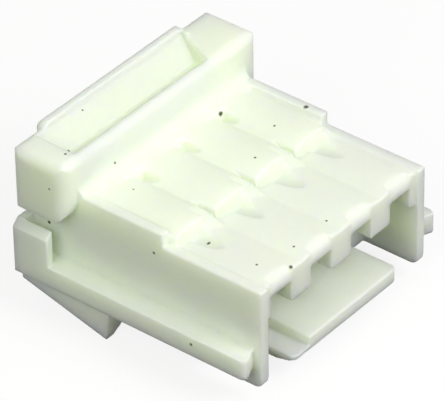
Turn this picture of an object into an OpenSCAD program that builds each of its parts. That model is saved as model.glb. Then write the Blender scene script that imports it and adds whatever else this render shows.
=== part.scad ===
// Wire to board connector housing: one moulded piece with four terminal
// cavities side by side. +X runs along the row of cavities, the mating end
// faces -Y and the wires enter at the +Y end. Millimetres.

/* [Row] */
// Distance between neighbouring terminal cavities
pitch = 2.0; // [1.9:0.05:2.2]
// Width of one terminal cavity
cavity_w = 1.0; // [0.8:0.02:1.1]
// Height of the cavity floor above the foot of the side walls
cavity_floor_z = 1.15; // [1.0:0.05:1.4]
// Height of the cavity ceiling above the foot of the side walls
cavity_roof_z = 3.12; // [2.9:0.02:3.2]

/* [Body] */
// Outer width across the two side walls
body_w = 8.3; // [8.1:0.02:8.5]
// Length of the body ahead of the flange
body_len = 7.18; // [6.8:0.02:7.6]
// Thickness of the side walls
wall_t = 0.36; // [0.3:0.02:0.5]
// Radius of the side walls' front corners, seen from the side
nose_r = 0.28; // [0.1:0.02:0.5]
// Height of the rear half, at the side walls
rear_top_z = 4.15; // [4.0:0.05:4.4]
// Height of the front half, at the side walls and at its covers' crowns
front_top_z = 3.68; // [3.5:0.01:3.8]
// Height of the valleys between the covers of the front half
front_valley_z = 3.58; // [3.5:0.01:3.7]
// Distance from the flange to the step in the side walls' rims
step_y = 3.34; // [3:0.02:3.5]

/* [Mating end] */
// Setback of the covers and partitions behind the side walls' front edges
front_setback = 0.12; // [0:0.02:0.3]
// Depth of the mating chamber behind the front edge
chamber_len = 3.4; // [2.5:0.1:3.8]
// Height of the underside of the partitions
partition_z = 2.36; // [2.1:0.02:2.5]
// Radius of the covers' front edges over the cavities
cover_nose_r = 0.46; // [0.2:0.02:0.5]
// Radius of the partitions' front edges
edge_r = 0.14; // [0.06:0.02:0.2]
// Width of the floor tongue that the mating half rides on
lip_w = 5.3; // [5:0.05:5.8]
// Thickness of the floor tongue
lip_t = 0.68; // [0.5:0.02:0.8]
// How far the floor tongue reaches past the side walls
lip_out = 0.08; // [0:0.02:0.2]
// Rise of the bevel under the floor tongue's front edge
lip_rise = 0.18; // [0:0.02:0.3]
// Length of that bevel
lip_bevel = 0.8; // [0.3:0.05:1.2]
// Radius of the floor tongue's front corners, seen from above
lip_r = 0.25; // [0.1:0.05:0.5]
// Length of the slots at both sides of the floor tongue
slot_len = 2.15; // [1.5:0.05:2.5]
// Width of the low shelf at the left of the floor tongue
shelf_w = 0.8; // [0.6:0.05:1.2]
// Thickness of the low shelf
shelf_t = 0.34; // [0.25:0.01:0.45]

/* [Cover] */
// Height of the rounded covers' crowns
crown_z = 4.08; // [4.0:0.02:4.2]
// Height of the valleys between the covers
valley_z = 3.86; // [3.8:0.02:3.95]
// Distance from the flange to the covers' front edges
cover_len = 3.62; // [3.5:0.02:3.8]
// Width of each cover's square front edge
cover_tip_w = 1.55; // [1.3:0.05:1.6]
// Distance from the flange at which the ramp beside that edge starts
ramp_start = 2.7; // [2.4:0.05:3]
// Distance from the flange at which the ramp reaches the front half
ramp_end = 4.2; // [4:0.05:4.6]
// Width of the scoop in front of each cover's edge
scoop_w = 0.72; // [0.6:0.02:0.8]
// Depth of that scoop
scoop_h = 0.36; // [0.25:0.01:0.4]
// Length of that scoop
scoop_len = 1.2; // [0.8:0.05:1.5]
// Depth of the shallow toe cut that leads from the covers' tips to the scoops
toe_h = 0.16; // [0.08:0.02:0.2]
// Length of that toe cut
toe_len = 0.26; // [0.1:0.02:0.4]
// Width of the slits between the covers at their front edges
slit_w = 0.12; // [0.1:0.01:0.16]
// Length of those slits
slit_len = 0.95; // [0.6:0.05:1.2]
// Depth of those slits
slit_h = 0.4; // [0.2:0.02:0.5]
// Width of the notches where the valleys meet the flange
notch_w = 0.38; // [0.3:0.02:0.5]
// Distance from the fillet at the flange's foot to those notches
notch_gap = 0.06; // [0:0.02:0.3]
// Depth of those notches
notch_h = 0.28; // [0.2:0.02:0.4]
// Length of those notches
notch_len = 0.6; // [0.4:0.05:0.8]

/* [Flange] */
// Length of the flange over its two ends
flange_w = 9.72; // [9.4:0.02:10]
// Depth of the flange, front to rear
flange_d = 2.16; // [1.9:0.02:2.4]
// Height of the flange's top
flange_top_z = 5.5; // [5.2:0.05:5.8]
// Height of the underside of the flange's overhanging ends
flange_end_z = 3.1; // [2.9:0.05:3.4]
// Radius of the fillet between the covers and the flange's front
foot_r = 0.5; // [0.2:0.05:0.6]
// Radius of the flange's edges
flange_r = 0.35; // [0.15:0.05:0.4]
// Radius of the flange's corners, seen from above
flange_plan_r = 0.45; // [0.3:0.05:0.6]
// Radius of the flange's corners, seen from the front
flange_end_r = 0.4; // [0.2:0.05:0.5]
// Radius of the flange's front lower edge
flange_low_r = 0.95; // [0.4:0.05:1.2]
// Length of the raised middle of the rear wall
rear_pad_w = 7.04; // [6:0.02:8]
// How far the middle of the rear wall stands out to the rear
rear_pad_d = 0.1; // [0.06:0.02:0.3]
// How far the middle of the rear wall stands above the ends
rear_pad_h = 0.12; // [0:0.02:0.2]
// Length of the pocket in the top
pocket_w = 7.25; // [6:0.05:7.6]
// How far the pocket's right end slants back from its rear to its front
pocket_slant = 0.75; // [0:0.05:1]
// Sideways offset of the pocket from the middle of the flange
pocket_x = -0.28; // [-0.4:0.02:0]
// Width of the pocket in the top
pocket_d = 1.6; // [1.3:0.05:1.8]
// Depth of the pocket at its front side
pocket_h = 1.1; // [0.5:0.05:1.3]
// Depth of the pocket at its rear side
pocket_rear_h = 0.14; // [0.1:0.02:0.3]
// Thickness of the rear wall beside the pocket
pocket_rear_t = 0.36; // [0.2:0.02:0.5]
// Width of the deep groove along the front side of the pocket
pocket_groove_d = 0.6; // [0.3:0.05:0.8]
// Depth of the pocket behind that groove
pocket_mid_h = 0.4; // [0.2:0.02:0.5]

/* [Locks] */
// Width across the two guide rails
rail_w = 9.76; // [9.6:0.02:10]
// Height of the underside of the guide rails and lower blocks
rail_z = 0.7; // [0.6:0.05:0.8]
// Thickness of the guide rails
rail_h = 0.75; // [0.6:0.01:0.9]
// Distance from the rails' front ends to the front edge of the body
rail_setback = 0.1; // [0:0.02:0.6]
// How far the rails' front ends slope back towards the walls
rail_slope = 0.25; // [0.05:0.05:0.4]
// Radius of the rails' outer front corners
rail_r = 0.18; // [0.1:0.02:0.3]
// Top of the lower blocks at the flange's ends
block_top_z = 2.7; // [2.4:0.05:2.8]
// Setback of the lower blocks' front faces behind the flange's front
block_setback = 0.75; // [0.5:0.05:1]
// Size of the lower blocks' top chamfers
block_chamfer = 0.25; // [0.2:0.05:0.45]
// How far the hooks reach below the foot of the side walls
hook_drop = 0.67; // [0.4:0.02:0.9]
// Distance from the flange's front to the hooks' front faces
hook_reach = 1.28; // [1:0.02:1.6]
// Lean of the hooks' front faces over their height
hook_lean = 0.15; // [0:0.05:0.3]
// Height of the hooks' ramps at the rear, above the foot of the side walls
hook_rear_z = 0.22; // [0.1:0.01:0.5]
// Width of the hooks
hook_w = 0.9; // [0.8:0.05:1]
// Inset of the hooks from the rails' outer faces
hook_inset = 0.34; // [0.1:0.02:0.5]
// Width of the flat along the bottom of the hooks
hook_flat = 0.36; // [0.2:0.02:0.6]
// Rise of the sloped inner side of the hooks
hook_rise = 0.4; // [0.2:0.02:0.6]

/* [Wire entry] */
// Width of a terminal opening at the rear
entry_w = 1.45; // [1.3:0.05:1.6]
// Depth of the wider rear part of the cavities
entry_len = 1.5; // [1:0.1:2]
// Extra height of the rear opening below the cavity floor
entry_drop = 0.2; // [0.1:0.05:0.3]

/* [Hidden] */
$fn = 48;
eps = 0.02;
over = 1;
vault_fn = 160;
way_count = 4;
cavity_x = [for (i = [0 : way_count - 1]) (i - (way_count - 1) / 2) * pitch];
inner_w = body_w - 2 * wall_t;
front_y = -body_len;
face_y = front_y + front_setback;
lip_y = front_y - lip_out;
rear_y = flange_d + rear_pad_d;
clear = body_len + flange_top_z;
shift_y = -(lip_y + rear_y) / 2;

// A side view, drawn with y to the right and z up, given a width along X
module side_extrude(w, x = 0) {
    translate([x - w / 2, 0, 0]) rotate([90, 0, 90]) linear_extrude(w) children();
}

// A front view, drawn with x to the right and z up, given a depth from y0 to y1
module front_extrude(y0, y1) {
    translate([0, y1, 0]) rotate([90, 0, 0]) linear_extrude(y1 - y0) children();
}

// What a corner at [x, y] loses to its rounding; sx and sy point into the body
module corner_loss(x, y, sx, sy, r) {
    difference() {
        translate([sx > 0 ? x - eps : x - r, sy > 0 ? y - eps : y - r]) square(r + eps);
        translate([x + sx * r, y + sy * r]) circle(r);
    }
}

// A rectangle from [x0, y0] to [x1, y1] with corners of radius r, and of r_low at [x0, y0]
module soft_rect(x0, y0, x1, y1, r, r_low) {
    difference() {
        translate([x0, y0]) square([x1 - x0, y1 - y0]);
        corner_loss(x0, y0, 1, 1, r_low);
        corner_loss(x1, y0, -1, 1, r);
        corner_loss(x0, y1, 1, -1, r);
        corner_loss(x1, y1, -1, -1, r);
    }
}

// Places a side view over both side walls
module at_walls(w) {
    for (side = [-1, 1]) side_extrude(w, side * (body_w - wall_t) / 2) children();
}

// Vault over one cavity, from the flange to y0, with its crown and its valleys
// at the given heights, cut off at the side walls' inner faces
module vault(x, y0, crown, valley) {
    half = pitch / 2;
    rise = crown - valley;
    r = (half * half + rise * rise) / (2 * rise);
    x0 = max(x - half, -inner_w / 2) - eps;
    x1 = min(x + half, inner_w / 2) + eps;
    intersection() {
        translate([x, 0, crown - r]) rotate([90, 0, 0]) cylinder(r = r, h = -y0, $fn = vault_fn);
        translate([x0, y0, front_valley_z - eps]) cube([x1 - x0, -y0, clear]);
    }
}

// The side walls with their step, the solid between them with the front half's
// low vaults, the floor tongue, and the fillet at the foot of the flange
module body() {
    at_walls(wall_t)
        polygon([[front_y, 0], [flange_d, 0], [flange_d, rear_top_z], [-step_y, rear_top_z],
                 [-step_y, front_top_z], [front_y, front_top_z]]);
    translate([-inner_w / 2 - eps, front_y, 0])
        cube([inner_w + 2 * eps, body_len + flange_d, front_valley_z]);
    for (x = cavity_x) vault(x, front_y, front_top_z, front_valley_z);
    translate([-lip_w / 2, lip_y, 0]) cube([lip_w, lip_out + eps, lip_t]);
    side_extrude(body_w) difference() {
        translate([-foot_r, front_valley_z]) square([foot_r + eps, crown_z + foot_r - front_valley_z]);
        translate([-foot_r, crown_z + foot_r]) circle(foot_r);
    }
}

// One arched cover with a square front edge, and at its right side a ramp that
// leads down to the front half
module cover(x) {
    tip_x = x - pitch / 2 + cover_tip_w;
    low_z = front_valley_z - eps;
    intersection() {
        vault(x, -ramp_end, crown_z, valley_z);
        union() {
            translate([tip_x - pitch, -cover_len, low_z]) cube([pitch, cover_len, clear]);
            side_extrude(pitch, tip_x + pitch / 2 - eps)
                polygon([[0, low_z], [0, crown_z], [-ramp_start, crown_z], [-ramp_end, low_z]]);
        }
    }
}

// A round groove of width w, depth h below z and length l, that starts at y
// and rises to nothing towards -Y
module run_out(x, y, z, w, h, l) {
    r = w / 2;
    intersection() {
        translate([x, y, z - h + r]) rotate([90 - atan(h / l), 0, 0])
            translate([0, 0, -l]) cylinder(r = r, h = 3 * l);
        translate([x - w, y - 2 * l, z - h - w]) cube([2 * w, 2 * l, 4 * w]);
    }
}

// Notches where the valleys meet the flange, slits beside the covers' front
// edges, and scoops in front of those edges
module cover_relief() {
    for (x = cavity_x) {
        crease = x - pitch / 2;
        tip_x = max(crease, -inner_w / 2);
        run_out(x, -cover_len, front_top_z, scoop_w, scoop_h, scoop_len);
        translate([0, -cover_len, front_top_z - toe_h]) linear_extrude(toe_h + eps)
            polygon([[tip_x, 0], [x + scoop_w / 2, 0], [x + scoop_w / 2, -toe_len],
                     [x - scoop_w / 2, -toe_len]]);
        if (x > cavity_x[0]) {
            slit_y = -cover_len - slit_w / 2;
            run_out(crease + notch_w / 2, -foot_r - notch_gap, valley_z + eps, notch_w, notch_h, notch_len);
            side_extrude(slit_w, crease + slit_w / 2)
                polygon([[slit_y + slit_len, crown_z], [slit_y + slit_len, valley_z],
                         [slit_y, valley_z - slit_h], [slit_y, crown_z]]);
        }
    }
}

// Terminal cavities, wider at the wire end
module cavities() {
    h = cavity_roof_z - cavity_floor_z;
    for (x = cavity_x) {
        translate([x - cavity_w / 2, front_y - over, cavity_floor_z]) cube([cavity_w, clear + over, h]);
        translate([x - entry_w / 2, flange_d - entry_len, cavity_floor_z - entry_drop])
            cube([entry_w, entry_len + over, h + entry_drop]);
    }
}

// Side view of what is taken off ahead of a front edge of radius r
module front_loss(r) {
    translate([front_y - over, lip_t]) square([over + front_setback, clear]);
    corner_loss(face_y, front_top_z, 1, -1, r);
}

// The mating chamber under the partitions, the slots in its floor, and the
// rounded front edges over it
module chamber() {
    translate([-inner_w / 2, front_y - over, lip_t])
        cube([inner_w, chamber_len + over, partition_z - lip_t]);
    slot_w = (inner_w - lip_w) / 2;
    for (side = [-1, 1])
        translate([side * (inner_w - slot_w) / 2 - slot_w / 2, front_y - over, -over])
            cube([slot_w, slot_len + over, lip_t + over + eps]);
    translate([-lip_w / 2 - eps, front_y - over, shelf_t]) cube([shelf_w, slot_len + over, lip_t]);
    side_extrude(inner_w)
        polygon([[lip_y - eps, -eps], [lip_y + lip_bevel, -eps], [lip_y - eps, lip_rise]]);
    translate([0, 0, -eps]) linear_extrude(lip_t + 2 * eps)
        for (side = [-1, 1]) corner_loss(side * lip_w / 2, lip_y, -side, 1, lip_r);
    side_extrude(inner_w) front_loss(edge_r);
    for (x = cavity_x) side_extrude(cavity_w, x) front_loss(cover_nose_r);
}

// A bar with rounded edges: its side, plan and front views that meet
module soft_bar(x0, x1, y0, y1, z0, z1, r, r_low, plan_r, end_r) {
    intersection() {
        side_extrude(x1 - x0, (x0 + x1) / 2) soft_rect(y0, z0, y1, z1, r, r_low);
        translate([0, 0, z0]) linear_extrude(z1 - z0) soft_rect(x0, y0, x1, y1, plan_r, plan_r);
        front_extrude(y0, y1) soft_rect(x0, z0, x1, z1, end_r, end_r);
    }
}

// Upper bar of the flange with the raised middle of its rear wall, and the
// open pocket in its top, which deepens to a groove along its front side
module flange() {
    pocket_y1 = rear_y - pocket_rear_t;
    pocket_y0 = pocket_y1 - pocket_d;
    pocket_x0 = pocket_x - pocket_w / 2;
    pocket_x1 = pocket_x + pocket_w / 2;
    pad_r = flange_r / 2;
    difference() {
        union() {
            soft_bar(-flange_w / 2, flange_w / 2, 0, flange_d,
                     flange_end_z, flange_top_z, flange_r, flange_low_r, flange_plan_r, flange_end_r);
            soft_bar(-rear_pad_w / 2, rear_pad_w / 2, flange_d - pocket_rear_t - pad_r, rear_y,
                     flange_end_z, flange_top_z + rear_pad_h, pad_r, pad_r, pad_r, flange_end_r);
        }
        intersection() {
            side_extrude(pocket_w, pocket_x)
                polygon([[pocket_y0, clear], [pocket_y0, flange_top_z - pocket_h],
                         [pocket_y0 + pocket_groove_d, flange_top_z - pocket_mid_h],
                         [pocket_y1, flange_top_z - pocket_rear_h], [pocket_y1, clear]]);
            linear_extrude(clear)
                polygon([[pocket_x0, pocket_y0], [pocket_x1 - pocket_slant, pocket_y0],
                         [pocket_x1, pocket_y1], [pocket_x0, pocket_y1]]);
        }
    }
}

// Plan of a guide rail at the right: it runs back under the flange's end and
// has a sloped, rounded front end
module rail_plan() {
    x0 = body_w / 2 - eps;
    x1 = rail_w / 2;
    y0 = front_y + rail_setback;
    difference() {
        polygon([[x0, flange_d], [x0, y0 + rail_slope], [x1 - rail_r, y0], [x1, y0], [x1, flange_d]]);
        corner_loss(x1, y0, -1, 1, rail_r);
    }
}

// Guide rail, the block at its rear under the flange's end, and the hook below
module lock() {
    x0 = body_w / 2 - eps;
    x1 = rail_w / 2;
    translate([0, 0, rail_z]) linear_extrude(rail_h) rail_plan();
    front_extrude(block_setback, flange_d)
        polygon([[x0, rail_z], [x1, rail_z], [x1, block_top_z - block_chamfer],
                 [x1 - block_chamfer, block_top_z], [x0, block_top_z]]);
    hook();
}

// Wedge hook: a long ramp from the rear, a steep pull face in front, and a
// sloped inner side
module hook() {
    x1 = rail_w / 2 - hook_inset;
    x0 = x1 - hook_w;
    root_z = rail_z + eps;
    tip_z = -hook_drop;
    intersection() {
        side_extrude(hook_w, x1 - hook_w / 2)
            polygon([[flange_d, root_z], [flange_d, hook_rear_z], [-hook_reach, tip_z],
                     [-hook_reach - hook_lean, root_z]]);
        front_extrude(-clear, clear)
            polygon([[x1, root_z], [x1, tip_z], [x1 - hook_flat, tip_z], [x0, tip_z + hook_rise],
                     [x0, root_z]]);
    }
}

module housing() {
    color("ivory") translate([0, shift_y, hook_drop]) difference() {
        union() {
            body();
            for (x = cavity_x) cover(x);
            flange();
            for (side = [0, 1]) mirror([side, 0, 0]) lock();
        }
        cover_relief();
        cavities();
        chamber();
        at_walls(wall_t + 2 * eps) corner_loss(front_y, 0, 1, 1, nose_r);
    }
}

housing();
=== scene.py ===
import bmesh
import bpy
import numpy as np
from mathutils import Matrix, Vector


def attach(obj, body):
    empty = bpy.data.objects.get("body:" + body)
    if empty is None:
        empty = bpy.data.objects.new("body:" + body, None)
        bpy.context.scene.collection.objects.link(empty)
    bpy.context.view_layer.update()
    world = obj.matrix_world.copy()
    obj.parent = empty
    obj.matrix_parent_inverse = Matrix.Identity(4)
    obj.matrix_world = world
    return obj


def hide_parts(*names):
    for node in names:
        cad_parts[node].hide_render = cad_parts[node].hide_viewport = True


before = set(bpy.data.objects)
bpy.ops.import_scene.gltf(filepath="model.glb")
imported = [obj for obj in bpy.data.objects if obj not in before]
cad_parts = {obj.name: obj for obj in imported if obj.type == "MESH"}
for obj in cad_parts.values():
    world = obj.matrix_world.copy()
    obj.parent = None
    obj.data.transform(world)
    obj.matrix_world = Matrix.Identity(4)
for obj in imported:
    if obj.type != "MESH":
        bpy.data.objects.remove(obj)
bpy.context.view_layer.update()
MM = 0.001

# ---------------------------------------------------------------- camera
# A long lens looks down on the left wall and the mating end, from far off,
# with a small roll about its own axis.
CAMERA_TARGET = np.array([0.108, 0.255, 3.17]) * MM
CAMERA_AZIMUTH, CAMERA_ELEVATION, CAMERA_ROLL = np.radians([-50.68, 36.38, -1.03])
CAMERA_DISTANCE = 140 * MM
CAMERA_LENS = 361.3


def aim_camera():
    """The camera's own axes and place. Right starts level, back points from the target to the lens,
    and right and up turn by the roll about back."""
    a, e, r = CAMERA_AZIMUTH, CAMERA_ELEVATION, CAMERA_ROLL
    back = np.array([np.sin(a) * np.cos(e), -np.cos(a) * np.cos(e), np.sin(e)])
    level = np.array([np.cos(a), np.sin(a), 0.0])
    lift = np.cross(back, level)
    right = np.cos(r) * level + np.sin(r) * lift
    up = np.cos(r) * lift - np.sin(r) * level
    place = CAMERA_TARGET + CAMERA_DISTANCE * back
    return Matrix([[right[i], up[i], back[i], place[i]] for i in range(3)] + [[0, 0, 0, 1]])


camera = bpy.data.objects.new("camera", bpy.data.cameras.new("camera"))
camera.data.lens = CAMERA_LENS
camera.data.clip_start = 0.01
camera.matrix_world = aim_camera()
bpy.context.scene.collection.objects.link(camera)
bpy.context.scene.camera = camera

# ---------------------------------------------------------------- housing
# The housing is one shot of natural nylon, with a slot cored out beside each
# lower block. The mould leaves every edge a little round, so the solid is
# melted by a fine remesh and a light smoothing.
MERGE_GAP = 1e-7
MELT_VOXEL = 0.04
MELT_SOFTNESS = 0.5
MELT_PASSES = 5
SHELL_TRIANGLES = 190000
SLOT_SIDES = (4.152, 4.58)
SLOT_ENDS = (3.1, 4.35)
SLOT_HEIGHTS = (2.12, 3.6)


def slot_core():
    """The mould core that leaves the narrow slot between each lower block and the wall, in
    millimetres: the eight corners of a box, and their mirror image in X."""
    x, y, z = np.meshgrid(SLOT_SIDES, SLOT_ENDS, SLOT_HEIGHTS, indexing="ij")
    corners = np.stack([x.ravel(), y.ravel(), z.ravel()], axis=1)
    faces = np.array([(0, 1, 3, 2), (4, 6, 7, 5), (0, 4, 5, 1), (2, 3, 7, 6), (0, 2, 6, 4), (1, 5, 7, 3)])
    mesh = bpy.data.meshes.new("slot_core")
    both = np.concatenate([corners, corners * (-1, 1, 1)])
    mesh.from_pydata(both.tolist(), [], np.concatenate([faces, faces[:, ::-1] + len(corners)]).tolist())
    core = bpy.data.objects.new("slot_core", mesh)
    bpy.context.scene.collection.objects.link(core)
    return core


def melted(source, name):
    """A copy of a solid's mesh, slotted, rebuilt on a fine grid, smoothed, thinned, and put back at
    its own size. The modifiers work on it in millimetres."""
    mesh = source.data.copy()
    work = bmesh.new()
    work.from_mesh(mesh)
    bmesh.ops.remove_doubles(work, verts=work.verts, dist=MERGE_GAP)
    work.to_mesh(mesh)
    work.free()
    mesh.transform(Matrix.Scale(1 / MM, 4))
    maker = bpy.data.objects.new("maker", mesh)
    bpy.context.scene.collection.objects.link(maker)
    core = slot_core()
    cut = maker.modifiers.new("cut", "BOOLEAN")
    cut.operation, cut.solver, cut.object = "DIFFERENCE", "EXACT", core
    grid = maker.modifiers.new("grid", "REMESH")
    grid.mode, grid.voxel_size = "VOXEL", MELT_VOXEL
    soft = maker.modifiers.new("soft", "SMOOTH")
    soft.factor, soft.iterations = MELT_SOFTNESS, MELT_PASSES
    bpy.context.view_layer.update()
    dense = len(maker.evaluated_get(bpy.context.evaluated_depsgraph_get()).data.loop_triangles)
    thin = maker.modifiers.new("thin", "DECIMATE")
    thin.ratio = min(1.0, SHELL_TRIANGLES / dense)
    bpy.context.view_layer.update()
    shape = bpy.data.meshes.new_from_object(maker.evaluated_get(bpy.context.evaluated_depsgraph_get()))
    bpy.data.objects.remove(maker)
    bpy.data.objects.remove(core)
    shape.transform(Matrix.Scale(MM, 4))
    shape.name = name
    piece = bpy.data.objects.new(name, shape)
    bpy.context.scene.collection.objects.link(piece)
    return piece


shell = melted(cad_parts["housing"], "housing_shell")
shell.data.polygons.foreach_set("use_smooth", np.ones(len(shell.data.polygons), dtype=bool))
even = shell.modifiers.new("even", "WEIGHTED_NORMAL")
even.mode = "FACE_AREA"

NYLON_IOR = 1.5
LIGHT_SHARE = 0.8
LIGHT_REACH = 0.0014
LIGHT_SPREAD = (0.9, 1.0, 0.55)
CLOUD_SCALE = 700
SATIN = (0.38, 0.52)
GRAIN_SCALE = 9000
GRAIN_STRENGTH = 0.08
GRAIN_HEIGHT = 0.00003
NYLON_PALE = (0.87, 0.94, 0.785, 1)
NYLON_CLOUDED = (0.85, 0.93, 0.745, 1)
DIRT = (0.045, 0.042, 0.02, 1)

# Dirt on the moulding, in millimetres: each speck's place and its radius.
SPECKS = [
    ((2.2, 1.95, 4.6), 0.12),
    ((3.9, -0.15, 4.8), 0.12),
    ((-4.15, 3.75, 3.25), 0.09),
    ((-3.5, 3.4, 5.75), 0.07),
    ((-4.1, 3.0, 6.15), 0.07),
    ((-2.4, 2.45, 5.1), 0.07),
    ((-4.9, -2.5, 1.85), 0.08),
    ((-4.15, -0.5, 4.0), 0.07),
    ((-2.9, -1.65, 4.15), 0.09),
    ((-2.45, -4.5, 4.3), 0.09),
    ((0.1, -3.9, 4.25), 0.06),
    ((-3.05, -3.65, 4.35), 0.06),
    ((0.85, -0.5, 4.75), 0.06),
    ((-1.6, -3.95, 4.3), 0.06),
    ((2.6, 0.1, 4.7), 0.06),
    ((-1.8, 4.25, 6.0), 0.05),
    ((-4.85, 3.05, 5.25), 0.05),
    ((-2.75, 1.45, 4.75), 0.05),
]


def speck_mask(nodes, links, place):
    """One inside any speck and zero outside: the largest of a smooth step for each, from full at a
    third of its radius to nothing at its rim."""
    mask = None
    for centre, radius in SPECKS:
        reach = nodes.new("ShaderNodeVectorMath")
        reach.operation = "DISTANCE"
        reach.inputs[1].default_value = [value * MM for value in centre]
        links.new(place, reach.inputs[0])
        spot = nodes.new("ShaderNodeMapRange")
        spot.interpolation_type = "SMOOTHSTEP"
        spot.inputs["From Min"].default_value = radius * MM
        spot.inputs["From Max"].default_value = radius * MM / 3
        links.new(reach.outputs["Value"], spot.inputs["Value"])
        if mask is None:
            mask = spot.outputs["Result"]
            continue
        most = nodes.new("ShaderNodeMath")
        most.operation = "MAXIMUM"
        links.new(mask, most.inputs[0])
        links.new(spot.outputs["Result"], most.inputs[1])
        mask = most.outputs[0]
    return mask


def natural_nylon():
    """Pale plastic that light enters a little way, faintly clouded, with a fine satin grain."""
    material = bpy.data.materials.new("natural_nylon")
    material.use_nodes = True
    nodes, links = material.node_tree.nodes, material.node_tree.links
    shader = nodes["Principled BSDF"]
    shader.inputs["IOR"].default_value = NYLON_IOR
    shader.inputs["Subsurface Weight"].default_value = LIGHT_SHARE
    shader.inputs["Subsurface Radius"].default_value = LIGHT_SPREAD
    shader.inputs["Subsurface Scale"].default_value = LIGHT_REACH
    place = nodes.new("ShaderNodeTexCoord")
    clouds = nodes.new("ShaderNodeTexNoise")
    clouds.inputs["Scale"].default_value = CLOUD_SCALE
    clouds.inputs["Detail"].default_value = 3
    shade = nodes.new("ShaderNodeMix")
    shade.data_type = "RGBA"
    shade.inputs["A"].default_value = NYLON_CLOUDED
    shade.inputs["B"].default_value = NYLON_PALE
    sheen = nodes.new("ShaderNodeMapRange")
    sheen.inputs["To Min"].default_value = SATIN[0]
    sheen.inputs["To Max"].default_value = SATIN[1]
    grain = nodes.new("ShaderNodeTexNoise")
    grain.inputs["Scale"].default_value = GRAIN_SCALE
    grain.inputs["Detail"].default_value = 3
    bump = nodes.new("ShaderNodeBump")
    bump.inputs["Strength"].default_value = GRAIN_STRENGTH
    bump.inputs["Distance"].default_value = GRAIN_HEIGHT
    links.new(place.outputs["Object"], clouds.inputs["Vector"])
    links.new(place.outputs["Object"], grain.inputs["Vector"])
    links.new(clouds.outputs["Fac"], shade.inputs["Factor"])
    links.new(clouds.outputs["Fac"], sheen.inputs["Value"])
    dirty = nodes.new("ShaderNodeMix")
    dirty.data_type = "RGBA"
    dirty.inputs["B"].default_value = DIRT
    links.new(speck_mask(nodes, links, place.outputs["Object"]), dirty.inputs["Factor"])
    links.new(shade.outputs["Result"], dirty.inputs["A"])
    links.new(dirty.outputs["Result"], shader.inputs["Base Color"])
    links.new(sheen.outputs["Result"], shader.inputs["Roughness"])
    links.new(grain.outputs["Fac"], bump.inputs["Height"])
    links.new(bump.outputs["Normal"], shader.inputs["Normal"])
    return material


shell.data.materials.clear()
shell.data.materials.append(natural_nylon())
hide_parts("housing")
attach(shell, "root")

# ---------------------------------------------------------------- studio
# A pale table in an even white surround, lit by a wide sky, a soft lamp on
# the mating end and a weaker one on the left wall. Lamp places are in mm.
FLOOR_SIZE = 0.6
FLOOR_GLOW = 0.85
FLOOR_BOUNCE = 0.05
SKY_LIGHT = (0.96, 1.0, 0.93)
SKY_STRENGTH = 0.27
LAMP_SIZE = 60
LAMP_AIM = (0, 0, 2)
KEY_PLACE, KEY_POWER = (15, -80, 80), 0.094
FILL_PLACE, FILL_POWER, FILL_COLOUR = (-90, -20, 70), 0.056, (0.95, 1.0, 0.9)


def seen_directly(nodes, links):
    """One where a ray comes from the camera, a mirror or a clear thing, zero where it carries light."""
    rays = nodes.new("ShaderNodeLightPath")
    share = rays.outputs["Is Camera Ray"]
    for ray in ("Is Glossy Ray", "Is Transmission Ray"):
        most = nodes.new("ShaderNodeMath")
        most.operation = "MAXIMUM"
        links.new(share, most.inputs[0])
        links.new(rays.outputs[ray], most.inputs[1])
        share = most.outputs[0]
    return share


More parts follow.
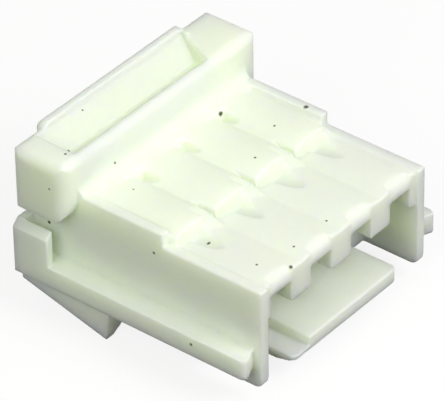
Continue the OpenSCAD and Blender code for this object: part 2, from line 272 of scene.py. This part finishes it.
def table_white():
    """Matt white with a glow for the eye only, and a weaker matt bounce for all other light."""
    material = bpy.data.materials.new("table_white")
    material.use_nodes = True
    nodes, links = material.node_tree.nodes, material.node_tree.links
    dull = nodes["Principled BSDF"]
    dull.inputs["Base Color"].default_value = (FLOOR_BOUNCE, FLOOR_BOUNCE, FLOOR_BOUNCE, 1)
    dull.inputs["Roughness"].default_value = 1.0
    dull.inputs["Specular IOR Level"].default_value = 0.0
    matt = nodes.new("ShaderNodeBsdfDiffuse")
    matt.inputs["Color"].default_value = (1, 1, 1, 1)
    glow = nodes.new("ShaderNodeEmission")
    show = nodes.new("ShaderNodeMixShader")
    show.inputs["Fac"].default_value = FLOOR_GLOW
    pick = nodes.new("ShaderNodeMixShader")
    links.new(matt.outputs["BSDF"], show.inputs[1])
    links.new(glow.outputs["Emission"], show.inputs[2])
    links.new(seen_directly(nodes, links), pick.inputs["Fac"])
    links.new(dull.outputs["BSDF"], pick.inputs[1])
    links.new(show.outputs["Shader"], pick.inputs[2])
    links.new(pick.outputs["Shader"], nodes["Material Output"].inputs["Surface"])
    return material


half = FLOOR_SIZE / 2
table_mesh = bpy.data.meshes.new("table")
table_corners = [(-half, -half, 0), (half, -half, 0), (half, half, 0), (-half, half, 0)]
table_mesh.from_pydata(table_corners, [], [(0, 1, 2, 3)])
table = bpy.data.objects.new("table", table_mesh)
table.data.materials.append(table_white())
bpy.context.scene.collection.objects.link(table)

world = bpy.data.worlds.new("surround")
bpy.context.scene.world = world
world.use_nodes = True
sky, links = world.node_tree.nodes, world.node_tree.links
light = sky["Background"]
light.inputs["Color"].default_value = (*SKY_LIGHT, 1)
light.inputs["Strength"].default_value = SKY_STRENGTH
plain = sky.new("ShaderNodeBackground")
plain.inputs["Color"].default_value = (1, 1, 1, 1)
pick = sky.new("ShaderNodeMixShader")
links.new(seen_directly(sky, links), pick.inputs["Fac"])
links.new(light.outputs["Background"], pick.inputs[1])
links.new(plain.outputs["Background"], pick.inputs[2])
links.new(pick.outputs["Shader"], sky["World Output"].inputs["Surface"])


def lamp(name, place, power, colour=(1, 1, 1)):
    """A square area lamp at place, in millimetres, that faces the housing."""
    data = bpy.data.lights.new(name, "AREA")
    data.size, data.energy, data.color = LAMP_SIZE * MM, power, colour
    item = bpy.data.objects.new(name, data)
    place, target = Vector(place) * MM, Vector(LAMP_AIM) * MM
    item.location = place
    item.rotation_euler = (target - place).to_track_quat("-Z", "Y").to_euler()
    bpy.context.scene.collection.objects.link(item)


lamp("key", KEY_PLACE, KEY_POWER)
lamp("fill", FILL_PLACE, FILL_POWER, FILL_COLOUR)

bpy.context.scene.view_settings.view_transform = "Standard"
